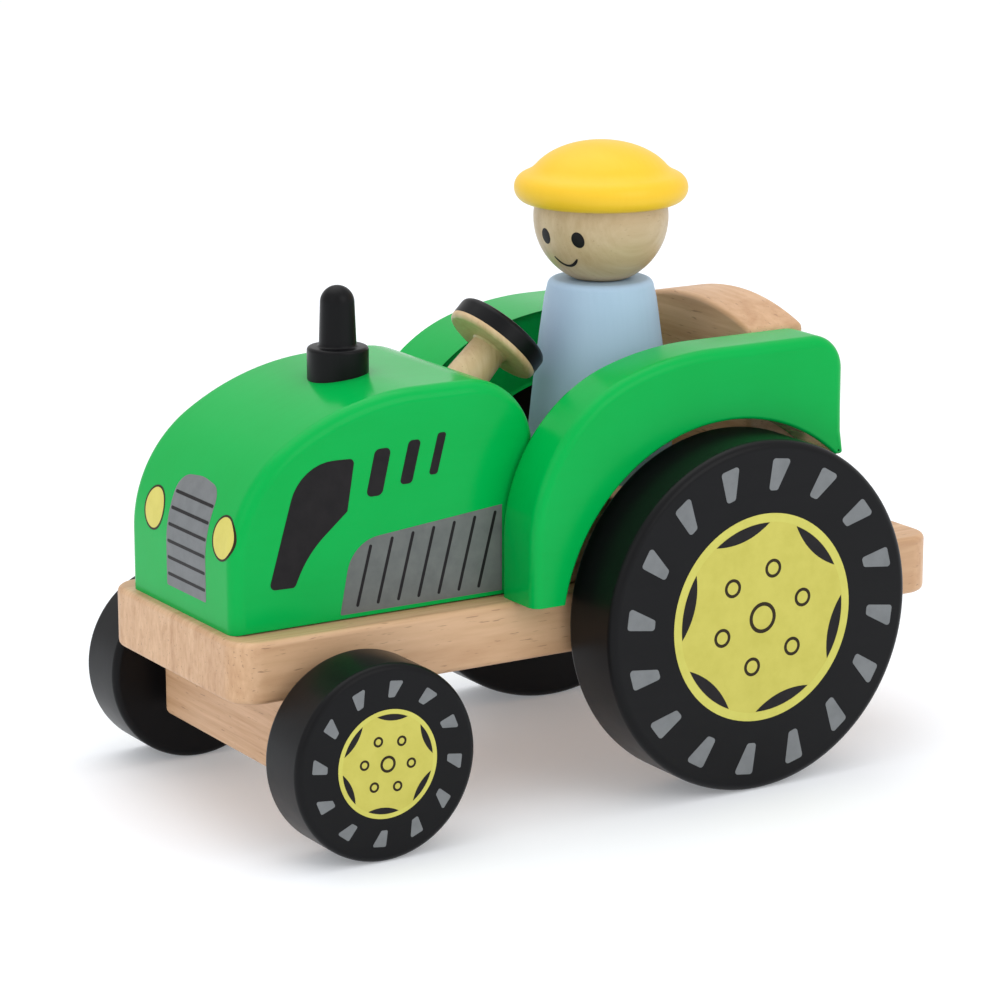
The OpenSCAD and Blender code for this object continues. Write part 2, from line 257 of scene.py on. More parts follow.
def apply_modifiers(ob):
    graph = bpy.context.evaluated_depsgraph_get()
    mesh = bpy.data.meshes.new_from_object(ob.evaluated_get(graph))
    old = ob.data
    ob.modifiers.clear()
    ob.data = mesh
    mesh.name = ob.name
    bpy.data.meshes.remove(old)


def slab(name, outline, place, low, high, material):
    """An outline in (u, v) made into a solid from w = low to w = high. place(u, v, w) gives the
    point in 3-D."""
    bm = bmesh.new()
    floor = [bm.verts.new(place(u, v, low)) for u, v in outline]
    roof = [bm.verts.new(place(u, v, high)) for u, v in outline]
    bm.faces.new(floor)
    bm.faces.new(roof)
    for i in range(len(outline)):
        j = (i + 1) % len(outline)
        bm.faces.new((floor[i], floor[j], roof[j], roof[i]))
    return add_object(name, bm, material)


def inward(outline, widths, i):
    """Where the outline's point i moves to when each side moves in by its own width, and how
    deep the rounding is there."""
    back, here = Vector(outline[i - 1]), Vector(outline[i])
    ahead = Vector(outline[(i + 1) % len(outline)])
    before, after = (here - back).normalized(), (ahead - here).normalized()
    n, m = Vector((-before.y, before.x)), Vector((-after.y, after.x))
    a, b = widths[i - 1], widths[i]
    smooth_joint = 0.7
    if n.dot(m) > smooth_joint:
        return (n + m) / (1 + n.dot(m)) * min(a, b), min(a, b)
    cross = n.x * m.y - n.y * m.x
    return Vector((a * m.y - b * n.y, b * n.x - a * m.x)) / cross, max(a, b)


def block(name, outline, widths, place, low, high, material, steps=7):
    """Like slab, with the long edges rounded. The outline runs anticlockwise, low is below high,
    and side i is rounded by widths[i]; a side with no width keeps its edges square."""
    count = len(outline)
    moves = [inward(outline, widths, i) for i in range(count)]
    bm = bmesh.new()
    rings = []
    for end, sign, order in ((low, 1, range(steps + 1)), (high, -1, range(steps, -1, -1))):
        for k in order:
            t = math.pi / 2 * k / steps
            ring = []
            for point, (inset, depth) in zip(outline, moves):
                u, v = Vector(point) + inset * (1 - math.sin(t))
                ring.append(bm.verts.new(place(u, v, end + sign * depth * (1 - math.cos(t)))))
            rings.append(ring)
    bm.faces.new(rings[0])
    bm.faces.new(rings[-1])
    for near, far in zip(rings, rings[1:]):
        for i in range(count):
            j = (i + 1) % count
            bm.faces.new((near[i], near[j], far[j], far[i]))
    bmesh.ops.remove_doubles(bm, verts=bm.verts, dist=0.002)
    return add_object(name, bm, material)


def soften(ob, width, segments=4):
    """Rounds the edges of a solid."""
    mod = ob.modifiers.new("soften", "BEVEL")
    mod.width = width * MM
    mod.segments = segments
    mod.limit_method = "ANGLE"
    mod.angle_limit = math.radians(35)
    mod.use_clamp_overlap = False
    apply_modifiers(ob)


def shade(ob, angle=32):
    """Smooth shading with flat faces kept flat and sharp edges kept sharp."""
    ob.data.polygons.foreach_set("use_smooth", [True] * len(ob.data.polygons))
    ob.data.set_sharp_from_angle(angle=math.radians(angle))
    mod = ob.modifiers.new("even", "WEIGHTED_NORMAL")
    mod.keep_sharp = True
    apply_modifiers(ob)
    return ob


def lathe_mesh(profile, origin, axis=(0, 0, 1), steps=96):
    """A turned solid: profile is (radius, height along the axis) from one end to the other."""
    turn_to = Vector((0, 0, 1)).rotation_difference(Vector(axis)).to_matrix()
    origin = Vector(origin)
    bm = bmesh.new()
    rings = []
    for radius, height in profile:
        if radius < 1e-6:
            rings.append([bm.verts.new(origin + turn_to @ Vector((0, 0, height)))])
            continue
        ring = []
        for i in range(steps):
            t = 2 * math.pi * i / steps
            spoke = Vector((radius * math.cos(t), radius * math.sin(t), height))
            ring.append(bm.verts.new(origin + turn_to @ spoke))
        rings.append(ring)
    for low, high in zip(rings, rings[1:]):
        for i in range(steps):
            j = (i + 1) % steps
            if len(low) == 1:
                bm.faces.new((low[0], high[i], high[j]))
            elif len(high) == 1:
                bm.faces.new((low[i], low[j], high[0]))
            else:
                bm.faces.new((low[i], low[j], high[j], high[i]))
    return bm


def lathe(name, profile, origin, material, axis=(0, 0, 1), steps=96):
    return add_object(name, lathe_mesh(profile, origin, axis, steps), material)


def cut(ob, profile, origin, axis=(0, 0, 1)):
    """Takes a turned shape out of a solid."""
    cutter = add_object("cutter", lathe_mesh(profile, origin, axis), ob.data.materials[0])
    mod = ob.modifiers.new("cut", "BOOLEAN")
    mod.operation = "DIFFERENCE"
    mod.solver = "EXACT"
    mod.object = cutter
    apply_modifiers(ob)
    bpy.data.objects.remove(cutter)


def hole_profile(radius, low, high, flare=0.35):
    """A drill that breaks the edges of the hole at both ends."""
    past = 1
    return [
        (0, low - past),
        (radius + flare + past, low - past),
        (radius, low + flare),
        (radius, high - flare),
        (radius + flare + past, high + past),
        (0, high + past),
    ]


def ink(name, shapes, place, lift, material, step=None):
    """Printed shapes as thin closed plates that follow the surface under them.

    A shape is an outline, or a pair of outlines with as many points each for a ring. place(u, v, w)
    gives the point at height w over the surface, and step cuts the plates up so that they can bend.
    """
    bm = bmesh.new()
    for shape in shapes:
        if isinstance(shape[0][0], (int, float)):
            bm.faces.new([bm.verts.new((u, v, 0)) for u, v in shape])
            continue
        outer = [bm.verts.new((u, v, 0)) for u, v in shape[0]]
        inner = [bm.verts.new((u, v, 0)) for u, v in shape[1]]
        for i in range(len(outer)):
            j = (i + 1) % len(outer)
            bm.faces.new((outer[i], outer[j], inner[j], inner[i]))
    if step:
        for axis in (0, 1):
            spread = [v.co[axis] for v in bm.verts]
            first = math.ceil(min(spread) / step)
            last = math.floor(max(spread) / step)
            for k in range(first, last + 1):
                at = [0, 0, 0]
                at[axis] = k * step + CUT_SHIFT
                normal = [0, 0, 0]
                normal[axis] = 1
                geometry = bm.verts[:] + bm.edges[:] + bm.faces[:]
                bmesh.ops.bisect_plane(bm, geom=geometry, plane_co=at, plane_no=normal)
    raised = bmesh.ops.extrude_face_region(bm, geom=bm.faces[:])["geom"]
    tops = {g for g in raised if isinstance(g, bmesh.types.BMVert)}
    for v in bm.verts:
        v.co = Vector(place(v.co.x, v.co.y, lift if v in tops else -INK_ROOT))
    return add_object(name, bm, material)


def piece(ob, body, slot, *nodes):
    """Parents a finished piece to its body's empty and hides the CAD nodes it stands in for."""
    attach(ob, body)
    if nodes:
        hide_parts(*nodes)


def print_parts(prefix, body, place, parts, step=None):
    """Makes every (name, outlines, lift, ink, slot) in parts a printed piece of its own."""
    for part, shapes, lift, material, slot in parts:
        piece(ink(f"{prefix}_{part}", shapes, place, lift, material, step), body, slot)


# ---------------------------------------------------------------- materials


class Nodes:
    """Short calls for building one material's node tree."""

    def __init__(self, name):
        self.material = bpy.data.materials.new(name)
        self.material.use_nodes = True
        self.tree = self.material.node_tree
        self.shader = self.tree.nodes["Principled BSDF"]

    def add(self, kind, settings=None, **inputs):
        node = self.tree.nodes.new(kind)
        for key, value in (settings or {}).items():
            setattr(node, key, value)
        for key, value in inputs.items():
            self.put(node.inputs[key.replace("_", " ")], value)
        return node

    def put(self, socket, value):
        if isinstance(value, bpy.types.NodeSocket):
            self.tree.links.new(value, socket)
        else:
            socket.default_value = value

    def place(self, stretch=(1, 1, 1), offset=(0, 0, 0)):
        """Object coordinates in millimetres, times stretch."""
        coords = self.add("ShaderNodeTexCoord").outputs["Object"]
        node = self.add("ShaderNodeMapping", Vector=coords)
        node.inputs["Scale"].default_value = [s / MM for s in stretch]
        node.inputs["Location"].default_value = offset
        return node.outputs["Vector"]

    def noise(self, coords, scale, detail=2.0, roughness=0.5, distortion=0.0):
        node = self.add("ShaderNodeTexNoise", Vector=coords, Scale=scale, Detail=detail)
        node.inputs["Roughness"].default_value = roughness
        node.inputs["Distortion"].default_value = distortion
        return node.outputs["Fac"]

    def ramp(self, value, low, high, out_low=0.0, out_high=1.0):
        node = self.add("ShaderNodeMapRange", Value=value)
        node.inputs["From Min"].default_value = low
        node.inputs["From Max"].default_value = high
        node.inputs["To Min"].default_value = out_low
        node.inputs["To Max"].default_value = out_high
        return node.outputs["Result"]

    def math(self, operation, a, b):
        node = self.add("ShaderNodeMath", {"operation": operation})
        self.put(node.inputs[0], a)
        self.put(node.inputs[1], b)
        return node.outputs[0]

    def mix(self, factor, a, b):
        node = self.add("ShaderNodeMix", {"data_type": "RGBA"})
        self.put(node.inputs["Factor"], factor)
        self.put(node.inputs[6], a)
        self.put(node.inputs[7], b)
        return node.outputs[2]

    def bump(self, height, strength, distance):
        node = self.add("ShaderNodeBump", Height=height, Strength=strength)
        node.inputs["Distance"].default_value = distance * MM
        return node.outputs["Normal"]

    def shade(self, colour, roughness, normal=None, **constants):
        self.put(self.shader.inputs["Base Color"], colour)
        self.put(self.shader.inputs["Roughness"], roughness)
        if normal is not None:
            self.put(self.shader.inputs["Normal"], normal)
        for key, value in constants.items():
            self.shader.inputs[key.replace("_", " ")].default_value = value
        return self.material


def rgb(r, g, b):
    """A colour given as it looks on a screen, 0 to 255."""

    def linear(value):
        value /= 255
        return value / 12.92 if value <= 0.04045 else ((value + 0.055) / 1.055) ** 2.4

    return (linear(r), linear(g), linear(b), 1)


def grain(axis):
    """Mapping stretch for wood whose fibres run along an axis."""
    return {
        "x": ((0.045, 1.2, 0.4), (0.3, 2.6, 2.6)),
        "y": ((0.4, 0.045, 1.2), (2.6, 0.3, 2.6)),
        "z": ((1.2, 0.4, 0.045), (2.6, 2.6, 0.3)),
    }[axis]


def wood(name, axis, light, dark, fleck, offset, flecks=0.5, gloss=0.42):
    """Sanded hardwood: growth bands, fine fibres and short dark flecks along the grain."""
    n = Nodes(name)
    fibre_stretch, fleck_stretch = grain(axis)
    drift = n.noise(n.place((0.02, 0.02, 0.02), offset), 1.0)
    bands = n.noise(n.place(fibre_stretch, offset), 0.28, 3, 0.6, 0.6)
    fibres = n.noise(n.place(fibre_stretch, offset), 1.5, 4, 0.65)
    tone = n.math("ADD", n.math("MULTIPLY", bands, 0.65), n.math("MULTIPLY", fibres, 0.35))
    body = n.mix(n.ramp(tone, 0.36, 0.66), light, dark)
    body = n.mix(n.ramp(drift, 0.35, 0.7, 0, 0.25), body, dark)
    specks = n.noise(n.place(fleck_stretch, offset), 1.0, 2, 0.5)
    mask = n.ramp(specks, 0.655, 0.72, 0, flecks)
    colour = n.mix(mask, body, fleck)
    height = n.math("SUBTRACT", n.math("MULTIPLY", fibres, 0.5), mask)
    return n.shade(
        colour,
        n.ramp(fibres, 0.3, 0.7, gloss - 0.05, gloss + 0.1),
        n.bump(height, 0.25, 0.05),
        Specular_IOR_Level=0.45,
    )


def paint(name, colour, deep, gloss, shine, axis="x"):
    """Sprayed paint over sanded wood: faint cloudiness, orange peel and a hint of the grain."""
    n = Nodes(name)
    fibre_stretch, _ = grain(axis)
    cloud = n.noise(n.place((0.06, 0.06, 0.06)), 1.0, 3)
    fibres = n.noise(n.place(fibre_stretch), 1.1, 4, 0.6)
    peel = n.noise(n.place(), 0.9, 2)
    body = n.mix(n.ramp(cloud, 0.3, 0.7, 0, 0.5), colour, deep)
    body = n.mix(n.ramp(fibres, 0.45, 0.75, 0, 0.3), body, deep)
    height = n.math("ADD", n.math("MULTIPLY", fibres, 0.6), n.math("MULTIPLY", peel, 0.7))
    return n.shade(
        body,
        n.ramp(cloud, 0.3, 0.7, gloss - 0.04, gloss + 0.06),
        n.bump(height, 0.16, 0.05),
        Specular_IOR_Level=shine,
    )


def print_ink(name, colour, deep):
    """Screen-printed ink: slightly uneven cover with a fine tooth."""
    gloss = 0.42
    n = Nodes(name)
    cover = n.noise(n.place((0.35, 0.35, 0.35)), 1.0, 4, 0.6)
    tooth = n.noise(n.place(), 4.0, 1)
    body = n.mix(n.ramp(cover, 0.35, 0.7), colour, deep)
    return n.shade(
        body,
        n.ramp(tooth, 0.3, 0.7, gloss - 0.05, gloss + 0.08),
        n.bump(tooth, 0.12, 0.02),
        Specular_IOR_Level=0.15,
    )


def metal(name):
    """Drawn steel with fine marks round the rod."""
    n = Nodes(name)
    marks = n.noise(n.place((1, 6, 1)), 1.0, 3)
    body = n.mix(marks, rgb(200, 202, 206), rgb(150, 152, 156))
    return n.shade(body, n.ramp(marks, 0.3, 0.7, 0.22, 0.4), n.bump(marks, 0.1, 0.02), Metallic=1.0)


def nylon(name):
    """Natural moulded nylon."""
    n = Nodes(name)
    cloud = n.noise(n.place((0.5, 0.5, 0.5)), 1.0, 2)
    body = n.mix(cloud, rgb(236, 234, 226), rgb(222, 219, 208))
    return n.shade(body, n.ramp(cloud, 0.3, 0.7, 0.4, 0.5), n.bump(cloud, 0.08, 0.03))


BEECH_LIGHT = rgb(216, 178, 140)
BEECH_DARK = rgb(184, 141, 103)
BEECH_FLECK = rgb(112, 72, 46)

BEECH_X = wood("beech_board", "x", BEECH_LIGHT, BEECH_DARK, BEECH_FLECK, (3, 8, 1))
BEECH_Y = wood("beech_block", "y", BEECH_LIGHT, BEECH_DARK, BEECH_FLECK, (31, 2, 17))
BEECH_Z = wood("beech_peg", "z", BEECH_LIGHT, BEECH_DARK, BEECH_FLECK, (7, 23, 5))
MAPLE_LIGHT = rgb(204, 182, 146)
MAPLE_DARK = rgb(184, 158, 120)
MAPLE_FLECK = rgb(150, 122, 86)
POST_LIGHT = rgb(216, 188, 148)
POST_DARK = rgb(192, 158, 116)
POST_FLECK = rgb(160, 122, 84)

PEG_WOOD = wood(
    "turned_maple", "x", MAPLE_LIGHT, MAPLE_DARK, MAPLE_FLECK, (5, 3, 9), flecks=0.35, gloss=0.36
)
POST_WOOD = wood(
    "turned_post", "z", POST_LIGHT, POST_DARK, POST_FLECK, (15, 1, 4), flecks=0.4, gloss=0.4
)
GREEN = paint("green_paint", rgb(0, 172, 76), rgb(0, 163, 67), 0.2, 0.12)
BLACK = paint("black_paint", rgb(16, 16, 18), rgb(10, 10, 12), 0.34, 0.14)
BLUE = paint("blue_paint", rgb(176, 202, 226), rgb(166, 193, 218), 0.45, 0.3, "z")
YELLOW = paint("yellow_paint", rgb(240, 196, 52), rgb(234, 187, 42), 0.34, 0.2, "z")
BLACK_INK = print_ink("black_ink", rgb(30, 27, 29), rgb(22, 20, 22))
GREY_INK = print_ink("grey_ink", rgb(120, 123, 125), rgb(111, 114, 116))
SLATE_INK = print_ink("slate_ink", rgb(108, 112, 110), rgb(98, 102, 101))
HUB_INK = print_ink("hub_ink", rgb(196, 189, 92), rgb(189, 182, 85))
HUB_EDGE_INK = print_ink("hub_edge_ink", rgb(200, 196, 98), rgb(194, 189, 91))
BROWN_INK = print_ink("brown_ink", rgb(48, 38, 20), rgb(40, 31, 16))
LAMP_INK = print_ink("lamp_ink", rgb(214, 204, 108), rgb(206, 196, 98))
STEEL = metal("steel")
NYLON = nylon("nylon")


# ---------------------------------------------------------------- wooden body


def along_x(u, v, w):
    """Outlines drawn as [x, z] and swept along y."""
    return (u, w, v)


def along_z(u, v, w):
    """Outlines drawn as [x, y] and swept up."""
    return (u, v, w)


def from_side(u, v, w):
    """Outlines drawn as [y, z] and swept along x."""
    return (w, u, v)


def make_chassis():
    low, high = box("chassis_board")
    corner_r = 5
    corners = [c + (corner_r,) for c in rectangle(low.x, low.y, high.x, high.y)]
    board = slab("chassis_plank", rounded(corners, 10), along_z, low.z, high.z, BEECH_X)
    soften(board, 1.0)
    hitch = frame["record"]["mounts"][0]
    hole = hole_profile(hitch["dims"]["r_mm"], low.z, high.z)
    cut(board, hole, (hitch["pos_m"][0] / MM, 0, 0))
    piece(shade(board), "tractor", "beech", "chassis_board")


def make_axle_block():
    low, high = box("front_axle_block")
    outline = rectangle(low.x, low.z, high.x, high.z)
    timber = slab("axle_block", outline, along_x, low.y, high.y, BEECH_Y)
    soften(timber, 1.2)
    screws = middle("axle_block_screws")
    screw_y = box("axle_block_screws")[1].y - 3
    head_r, shank_r, sink, depth = 3.3, 1.75, 2, 8
    seat = [(0, -1), (head_r + 1, -1), (head_r, 0), (shank_r, sink), (shank_r, depth), (0, depth)]
    for side in (-1, 1):
        cut(timber, seat, (screws.x, side * screw_y, low.z))
    piece(shade(timber), "tractor", "beech", "front_axle_block")


def make_hood():
    outline = hood_outline()
    widths = [HOOD_FOOT_EDGE] + [HOOD_EDGE] * (len(outline) - 1)
    hood = block("hood_shell", outline, widths, along_x, HOOD_LOW.y, HOOD_HIGH.y, GREEN)
    mouth, recess_r, bore_r, bore_end = -3, POST_R + 0.5, SPIGOT_R + 0.06, SPIGOT_END + 0.6
    bore = [
        (0, mouth),
        (recess_r, mouth),
        (recess_r, POST_END),
        (bore_r, POST_END),
        (bore_r, bore_end),
        (0, bore_end),
    ]
    cut(hood, bore, STEERING_HUB, STEERING_AXIS)
    piece(shade(hood), "tractor", "green_paint", "hood")


def make_fender(side):
    name = "left_fender" if side > 0 else "right_fender"
    outline = fender_outline()
    tip = min(outline, key=lambda p: p[1] + 2 * p[0])
    # The edges get rounder away from the tail's tip, and stay crisp along the arch
    widths = [
        min(FENDER_EDGE, 0.9 * TIP_R + 0.3 * (Vector(p) - Vector(tip)).length) for p in outline
    ]
    arch_at = outline.index(tip) + TIP_STEPS + 2
    for i in range(arch_at, len(widths)):
        widths[i] = min(widths[i], ARCH_EDGE)
    widths[-1] = 0
    # Known fault: on the right side low is above high, so block rounds
    # the edges outwards
    low, high = (side * FENDER_LOW.y, side * FENDER_HIGH.y)
    fender = block(name + "_arch", outline, widths, along_x, low, high, GREEN)
    piece(shade(fender), "tractor", "green_paint", name)


def make_seat():
    low, high = box("seat_block")
    outline = rectangle(low.x, low.y, high.x, high.y)
    base = slab("seat_base", outline, along_z, low.z, high.z, BEECH_Y)
    soften(base, 0.6, 3)
    socket_r, lead_in = 13.1, 1.5
    foot_z = box("driver_body")[0].z
    socket = [
        (0, foot_z),
        (socket_r, foot_z),
        (socket_r, high.z - 0.5),
        (socket_r + lead_in, high.z + 1),
        (0, high.z + 1),
    ]
    cut(base, socket, (middle("driver_body").x, 0, 0))
    piece(shade(base), "tractor", "beech", "seat_block")

    low, high = box("seat_back")
    crown_r = 50
    half = math.degrees(math.asin(high.y / crown_r))
    top = arc((0, high.z - crown_r), crown_r, 90 - half, 90 + half)
    outline = [(low.y, low.z), (high.y, low.z)] + top
    back = slab("seat_back_rest", outline, from_side, low.x, high.x, BEECH_Y)
    soften(back, 1.0)
    piece(shade(back), "tractor", "beech", "seat_back")


def make_exhaust():
    low, high = box("exhaust_stack")
    spigot_r, foot_r, pipe_r, tip_r = 2.5, 5.1, 3.1, 2.85
    seat_z, foot_z = 69.4, 75.5
    edge, hollow = 0.6, 0.5
    profile = (
        [(0, low.z), (spigot_r, low.z), (spigot_r, seat_z), (foot_r, seat_z)]
        + arc((foot_r - edge, foot_z - edge), edge, 0, 90, 5)
        + arc((pipe_r + hollow, foot_z + hollow), hollow, 270, 180, 4)
        + arc((0, high.z - tip_r), tip_r, 0, 90, 14)
    )
    profile[-1] = (0, high.z)
    stack = lathe("exhaust_pipe", profile, (middle("exhaust_stack").x, 0, 0), BLACK)
    piece(shade(stack), "tractor", "black_paint", "exhaust_stack")


# ---------------------------------------------------------------- prints on the hood


def hood_side(side):
    return lambda u, v, w: (u, side * (HOOD_HIGH.y + w), v)


def hood_front(u, v, w):
    """u is y and v is the way up the front face from the deck, bending back over the nose."""
    past = max(0, abs(u) - HOOD_HIGH.y + HOOD_EDGE)
    w -= HOOD_EDGE - math.sqrt(HOOD_EDGE**2 - past**2)
    if v <= NOSE_RISE:
        return (HOOD_HIGH.x + w, u, DECK_Z + v)
    x, z = turn(NOSE_C, NOSE_R + w, math.degrees((v - NOSE_RISE) / NOSE_R))
    return (x, u, z)


def bar(start, stop, width, steps=5):
    """A line of print with round ends."""
    a, b = Vector(start), Vector(stop)
    lean = math.degrees(math.atan2(b.y - a.y, b.x - a.x))
    return arc(b, width / 2, lean - 90, lean + 90, steps) + arc(
        a, width / 2, lean + 90, lean + 270, steps
    )


def side_prints(side):
    """Swoosh, vents and grille on one side of the hood. Corners are x, z and a radius."""
    swoosh = rounded(
        [
            (60.8, 41.4, 0.9),
            (56.1, 41.3, 0.8),
            (53.7, 46.5, 18),
            (46.4, 52.6, 0.4),
            (45.0, 61.1, 0.8),
            (54.9, 61.4, 8),
        ],
        8,
    )
    vent_lean = 0.9
    vent_sizes = ((40.6, 58.3, 3.0, 7.7), (34.7, 59.3, 2.3, 7.1), (29.6, 60.1, 1.6, 6.8))
    vents = []
    for x, z, width, tall in vent_sizes:
        half, rise = width / 2, tall / 2
        tight_r, wide_r = half * 0.55, half * 0.75
        corners = [
            (x + vent_lean + half, z - rise, tight_r),
            (x + vent_lean - half, z - rise, wide_r),
            (x - vent_lean - half, z + rise, tight_r),
            (x - vent_lean + half, z + rise, wide_r),
        ]
        vents.append(rounded(corners))
    rear_x, foot_z = FENDER_HIGH.x - 0.5, 35.5
    corners = [
        (rear_x, foot_z, 0),
        (47.9, foot_z, 0.3),
        (45.6, 47.4, 6.5),
        (rear_x, 50.1, 0),
    ]
    grille = rounded(corners, 10)
    slat_x, slat_z, slat_top, slat_gap, slat_lean = 44.7, 36.8, 46.3, 3.8, 0.262
    slats = []
    for k in range(7):
        x = slat_x - slat_gap * k
        # The grille's round corner shortens the first slat, and its top edge climbs after that
        rise = slat_top + (0.8 if k else 0) + 0.36 * max(0, k - 1) - slat_z
        slats.append(bar((x, slat_z), (x - rise * slat_lean, slat_z + rise), SLAT_WIDTH))
    parts = (
        ("marks", [swoosh] + vents, FIRST_INK, BLACK_INK, "black_paint"),
        ("grille", [grille], FIRST_INK, SLATE_INK, "black_paint"),
        ("slats", slats, SECOND_INK, BLACK_INK, "black_paint"),
    )
    name = "left" if side > 0 else "right"
    print_parts(f"{name}_side", "tractor", hood_side(side), parts)


def front_prints():
    """Grille and headlights on the nose. Corners are y, the way up from the deck and a radius."""
    centre_y, half = 2.2, 6.9
    foot, shoulder, crown = 3.6, 22.4, 23.3
    corners = [
        (centre_y - half, foot, 0.4),
        (centre_y + half, foot, 0.4),
        (centre_y + half, shoulder, 3.4),
        (centre_y, crown, 12),
        (centre_y - half, shoulder, 3.4),
    ]
    slats = []
    for k in range(6):
        rise = 5.6 + 2.76 * k
        slats.append(bar((centre_y - 6.2, rise), (centre_y + 6.4, rise), SLAT_WIDTH))
    lamp_apart, lamp_rise, lamp_rx, lamp_ry, rim = 12.1, 15.4, 3.1, 3.4, 0.35
    lamps, rims = [], []
    for side in (-1, 1):
        centre = (centre_y + side * lamp_apart, lamp_rise)
        lamp = ellipse(centre, lamp_rx, lamp_ry)
        lamps.append(lamp)
        rims.append((ellipse(centre, lamp_rx + rim, lamp_ry + rim), lamp))
    parts = (
        ("grille", [rounded(corners, 8)], FIRST_INK, GREY_INK, "black_paint"),
        ("slats", slats, SECOND_INK, BLACK_INK, "black_paint"),
        ("lamps", lamps, FIRST_INK, LAMP_INK, "yellow_paint"),
        ("lamp_rims", rims, SECOND_INK, BROWN_INK, "black_paint"),
    )
    print_parts("nose", "tractor", hood_front, parts, NOSE_CUTS)


# ---------------------------------------------------------------- wheels


def ring(centre, radius, line):
    """A printed circle whose line is as thick as given, inside the radius."""
    return (
        ellipse(centre, radius, radius, n=32),
        ellipse(centre, radius - line, radius - line, n=32),
    )


def tread_blocks(count, phase):
    """Grey blocks round the tyre. Their corners are degrees from the block's own place, on a
    tyre with 16 blocks."""
    outer_r, inner_r, corner_r = 27, 21.6, 0.55
    outer, inner = (5.4, -2.6), (-3.8, 0.8)
    span = 16 / count
    blocks = []
    for k in range(count):
        a = phase + 360 * k / count
        corners = [turn((0, 0), outer_r, a + t * span) for t in outer]
        corners += [turn((0, 0), inner_r, a + t * span) for t in inner]
        blocks.append(rounded([c + (corner_r,) for c in corners], 4))
    return blocks


def hub_slots(phase):
    """Lens shapes inside the hub's edge, which bulge towards the wheel's centre."""
    rim_r, half_angle, bulge, steps = 16.2, 20, 1.15, 12
    lenses = []
    for k in range(6):
        a = phase + 60 * k
        outer = [turn((0, 0), rim_r, a + t) for t in range(-half_angle, half_angle + 1, 2)]
        start, stop = Vector(outer[-1]), Vector(outer[0])
        inner = []
        for i in range(1, steps):
            f = i / steps
            sag = bulge * 4 * f * (1 - f)
            inner.append(tuple(start.lerp(stop, f) - Vector(turn((0, 0), sag, a))))
        lenses.append(outer + inner)
    return lenses


def hub_rings(phase, line):
    """Six small rings between the slots and one round the middle."""
    bolt_circle_r, bolt_r, bolt_angle, centre_r = 8.45, 1.35, 29.6, 2.4
    rings = []
    for k in range(6):
        bolt = turn((0, 0), bolt_circle_r, phase + bolt_angle + 60 * k)
        rings.append(ring(bolt, bolt_r + line / 2, line))
    rings.append(ring((0, 0), centre_r + line / 2, 1.2 * line))
    return rings


def make_wheel(node, body, scale, line, treads, tread_phase, hub_phase):
    """A turned wheel with a printed tyre and hub. The print is drawn for the rear wheel, at
    scale 1; line is how thick its drawn lines are before scaling, and the phases are degrees."""
    low, high = box(node)
    centre = (low + high) / 2
    side = 1 if centre.y > 0 else -1
    radius = (high.z - low.z) / 2
    edge = 1.5 if radius > 20 else 1.2
    face = high.y - low.y - SECOND_INK - INK_MARGIN
    profile = (
        [(0, 0)]
        + arc((radius - edge, edge), edge, -90, 0, 6)
        + arc((radius - edge, face - edge), edge, 0, 90, 6)
        + [(0, face)]
    )
    inner = (centre.x, side * min(abs(low.y), abs(high.y)), centre.z)
    disc = lathe(node + "_disc", profile, inner, BLACK, (0, side, 0), 128)
    piece(shade(disc), body, "black_paint", node)

    def place(u, v, w):
        return (centre.x + side * u * scale, inner[1] + side * (face + w), centre.z + v * scale)

    hub, hub_inside = circle(17.75), circle(16.3)
    parts = (
        ("treads", tread_blocks(treads, tread_phase), FIRST_INK, GREY_INK, "black_paint"),
        ("hub", [hub], FIRST_INK, HUB_INK, "yellow_paint"),
        ("hub_edge", [(hub, hub_inside)], EDGE_INK, HUB_EDGE_INK, "yellow_paint"),
        ("hub_slots", hub_slots(hub_phase), SECOND_INK, BLACK_INK, "black_paint"),
        ("hub_rings", hub_rings(hub_phase, line), SECOND_INK, BROWN_INK, "black_paint"),
    )
    print_parts(node, body, place, parts)


# ---------------------------------------------------------------- steering wheel and driver


def make_steering_wheel():
    """A turned wooden knob whose disc is painted black down to a line near its underside."""
    radius, half, cap_edge, line = 8.5, 2.2, 1.1, 1.1
    wood_edge, neck_r, fillet = 0.8, 3.2, 0.3
    seam, shoulder_gap = 0.02, 0.1
    shoulder = POST_END - shoulder_gap
    cap = (
        [(0, -half)]
        + arc((radius - cap_edge, cap_edge - half), cap_edge, -90, 0, 6)
        + [(radius, line - seam), (0, line - seam)]
    )
    post = (
        [(0, line), (radius, line)]
        + arc((radius - wood_edge, half - wood_edge), wood_edge, 0, 90, 4)
        + [(neck_r + fillet, half), (neck_r, half + fillet), (POST_R, shoulder)]
        + [(SPIGOT_R, shoulder), (SPIGOT_R, SPIGOT_END), (0, SPIGOT_END)]
    )
    for name, profile, look, slot in (
        ("steering_cap", cap, BLACK, "black_paint"),
        ("steering_post", post, POST_WOOD, "maple"),
    ):
        turned = lathe(name, profile, STEERING_HUB, look, STEERING_AXIS)
        piece(shade(turned), "steering", slot, "steering_wheel")


